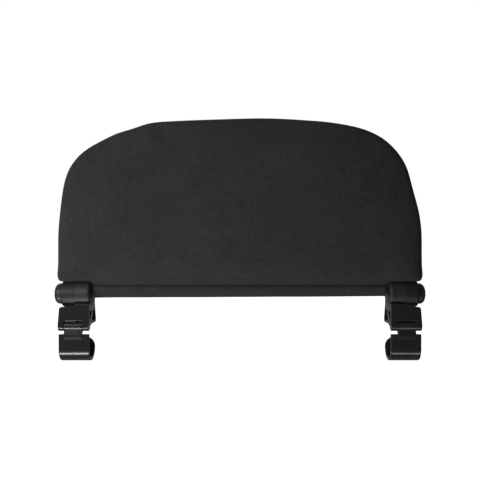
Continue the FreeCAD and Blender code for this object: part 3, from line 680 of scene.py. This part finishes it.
def make_stitches(material, hem):
    """Rows of thread along the seam, front and back, pressed into the cloth."""
    random.seed(11)
    shape = bmesh.new()
    count = int(2 * SEAM_HALF_LENGTH / STITCH_PITCH) - 1
    for side in (-1, 1):
        for step in range(count):
            shift = random.uniform(-STITCH_SHIFT, STITCH_SHIFT)
            x = (step - (count - 1) / 2) * STITCH_PITCH + shift
            tilt = random.uniform(-STITCH_TILT, STITCH_TILT)
            rise = random.uniform(-STITCH_RISE, STITCH_RISE)
            height = SEAM_HEIGHT + STITCH_ABOVE_SEAM + rise
            depth = surface_depth(hem, x, height, side)
            place = (Matrix.Translation((x, depth + side * THREAD_PROUD, height))
                     @ Matrix.Rotation(tilt, 4, "Y") @ Matrix.Rotation(math.pi / 2, 4, "Y"))
            add_stitch(shape, place)
    mesh = bpy.data.meshes.new("seam_stitches")
    shape.to_mesh(mesh)
    shape.free()
    piece = add_object("seam_stitches", mesh)
    return finish_piece(piece, "headrest", material)


def surface_depth(piece, x, height, side):
    """How deep the piece's surface lies at (x, height), seen from that side."""
    start = Vector((x, side * 0.1, height))
    hit, place, _, _ = piece.ray_cast(start, Vector((0, -side, 0)))
    return place.y if hit else side * HEM_HIGH.y


def add_stitch(shape, place):
    """One stitch: a thread that dives into the cloth at both ends."""
    rings = []
    for share in np.linspace(-1, 1, THREAD_RINGS):
        thin = math.sqrt(max(1 - abs(share) ** 3, 0.05))
        ring = []
        for turn in range(THREAD_SIDES):
            angle = turn * math.tau / THREAD_SIDES
            local = Vector((THREAD_RADIUS * thin * math.cos(angle),
                            THREAD_RADIUS * thin * math.sin(angle),
                            share * STITCH_LENGTH / 2))
            ring.append(shape.verts.new(place @ local))
        rings.append(ring)
    for near, far in zip(rings, rings[1:]):
        for turn in range(THREAD_SIDES):
            after = (turn + 1) % THREAD_SIDES
            shape.faces.new((near[turn], near[after], far[after], far[turn]))
    shape.faces.new(reversed(rings[0]))
    shape.faces.new(rings[-1])


# ------------------------------------------------------------ inner foam

def make_foam(node, material, cover):
    """A cut foam sheet with eased edges, skived thin towards the cover's rim."""
    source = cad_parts[node]
    piece = add_object(f"{node}_sheet", source.data.copy())
    piece.data.materials.clear()
    voxel_remesh(piece, FOAM_VOXEL)
    points = coordinates(piece)
    distance, inward = nearest_on_outline(points[:, [0, 2]], COVER_OUTLINE)
    short = np.clip(FOAM_RIM_GAP - distance, 0, None)
    points[:, 0] += inward[:, 0] * short
    points[:, 2] += inward[:, 1] * short
    for point in points:
        front = surface_depth(cover, point[0], point[2], -1) + FOAM_CLEARANCE
        back = surface_depth(cover, point[0], point[2], 1) - FOAM_CLEARANCE
        point[1] = min(max(point[1], front), back)
    set_coordinates(piece, points)
    select_only(piece)
    modifier = piece.modifiers.new("ease", "SMOOTH")
    modifier.factor = 0.5
    modifier.iterations = 3
    bpy.ops.object.modifier_apply(modifier=modifier.name)
    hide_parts(node)
    return finish_piece(piece, "headrest", material)


# -------------------------------------------------------- CAD pieces' looks

def dress(nodes, material):
    for node in nodes:
        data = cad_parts[node].data
        data.materials.clear()
        data.materials.append(material)


def pair(name):
    return [f"{name}_{side}" for side in SIDES]


# ----------------------------------------------------- camera, light, stage

def make_camera():
    camera = bpy.data.objects.new("camera", bpy.data.cameras.new("camera"))
    bpy.context.scene.collection.objects.link(camera)
    low, high = cad_box
    camera.location = (0, -VIEW_DISTANCE, (low.z + high.z) / 2)
    camera.rotation_euler = (math.pi / 2, 0, 0)
    camera.data.sensor_width = 36
    camera.data.lens = camera.data.sensor_width / 2 / math.tan(VIEW_ANGLE / 2)
    camera.data.clip_start = 0.01
    bpy.context.scene.camera = camera


def add_area(name, place, target, width, height, power, colour):
    light = bpy.data.lights.new(name, "AREA")
    light.shape = "RECTANGLE"
    light.size, light.size_y = width, height
    light.energy = power
    light.color = colour
    lamp = bpy.data.objects.new(name, light)
    bpy.context.scene.collection.objects.link(lamp)
    lamp.location = place
    lamp.rotation_euler = (Vector(target) - Vector(place)).to_track_quat("-Z", "Y").to_euler()
    lamp.visible_camera = False
    return lamp


def make_lights():
    for light in LIGHTS:
        add_area(*light)


def make_world():
    """White to the eye, bright behind the object and dim in front of it."""
    world = bpy.data.worlds.new("studio")
    world.use_nodes = True
    tree = world.node_tree
    background = tree.nodes["Background"]
    background.inputs["Strength"].default_value = 1.0
    split = tree.nodes.new("ShaderNodeSeparateXYZ")
    tree.links.new(tree.nodes.new("ShaderNodeTexCoord").outputs["Generated"], split.inputs[0])
    behind = tree.nodes.new("ShaderNodeMapRange")
    behind.inputs["From Min"].default_value = WORLD_BLEND[0]
    behind.inputs["From Max"].default_value = WORLD_BLEND[1]
    behind.inputs["To Min"].default_value = WORLD_IN_FRONT
    behind.inputs["To Max"].default_value = WORLD_BEHIND
    tree.links.new(split.outputs["Y"], behind.inputs["Value"])
    seen = tree.nodes.new("ShaderNodeMix")
    seen.data_type = "FLOAT"
    tree.links.new(tree.nodes.new("ShaderNodeLightPath").outputs["Is Camera Ray"], seen.inputs[0])
    tree.links.new(behind.outputs[0], seen.inputs[2])
    seen.inputs[3].default_value = 1.0
    tree.links.new(seen.outputs[0], background.inputs["Color"])
    bpy.context.scene.world = world


def make_floor():
    mesh = bpy.data.meshes.new("floor")
    half = FLOOR_SIZE / 2
    mesh.from_pydata([(-half, -half, 0), (half, -half, 0), (half, half, 0), (-half, half, 0)],
                     [], [(0, 1, 2, 3)])
    floor = add_object("floor", mesh)
    floor.location.z = cad_box[0].z - FLOOR_DROP
    material = bpy.data.materials.new("pale_floor")
    material.use_nodes = True
    surface = material.node_tree.nodes["Principled BSDF"]
    surface.inputs["Base Color"].default_value = (0.9, 0.9, 0.9, 1)
    surface.inputs["Roughness"].default_value = 0.9
    surface.inputs["Emission Color"].default_value = (1, 1, 1, 1)
    surface.inputs["Emission Strength"].default_value = 1.0
    mesh.materials.append(material)
    floor.visible_glossy = False
    floor.visible_diffuse = False


# ------------------------------------------------------------------- build

bpy.context.scene.view_settings.view_transform = "Standard"
make_camera()
make_lights()
make_world()
make_floor()

cloth = cover_cloth()
COVER_OUTLINE = cover_outline()
cover_piece = make_cover(cloth, COVER_OUTLINE)
hem_piece = make_hem(cloth)
make_stitches(thread(), hem_piece)

foam_material = foam()
for foam_node in ("foam_front", "foam_core", "foam_back"):
    make_foam(foam_node, foam_material, cover_piece)

dress(pair("tube_clip"), moulded("clip_nylon", (0.0112, 0.0123, 0.0117), 0.22, 0.45, 0.002))
dress(pair("hinge_arm"), moulded(
    "arm_nylon", (0.0118, 0.0129, 0.0121), 0.24, 0.45, 0.003, gloss=0.42,
    matt_above=SHOULDER_HEIGHT / MM))
dress(pair("outer_hub"), moulded(
    "hub_nylon", (0.0080, 0.0089, 0.0081), 0.50, 0.45, 0.03, gloss=0.36))
dress(pair("push_button"), moulded(
    "button_nylon", (0.0100, 0.0118, 0.0125), 0.46, 0.40, 0.02, edge_wear_and_highlight=0.1))
dress(pair("lock_gear"), moulded("gear_acetal", (0.55, 0.54, 0.50), 0.35, 0.25, 0.02))
dress(["cross_rod"] + pair("pivot_pin"), metal("bright_steel", (0.52, 0.53, 0.55), 0.28, 0.02))
dress(["frame_arch"], metal("tube_steel", (0.36, 0.37, 0.38), 0.36, 0.03))
dress(pair("frame_screw") + pair("rod_nut"), metal("zinc_steel", (0.58, 0.58, 0.56), 0.32, 0.02))
dress(pair("lock_spring"), metal("spring_wire", (0.42, 0.42, 0.44), 0.25, 0.01))
dress(["stiffener_board"], fibre_board())
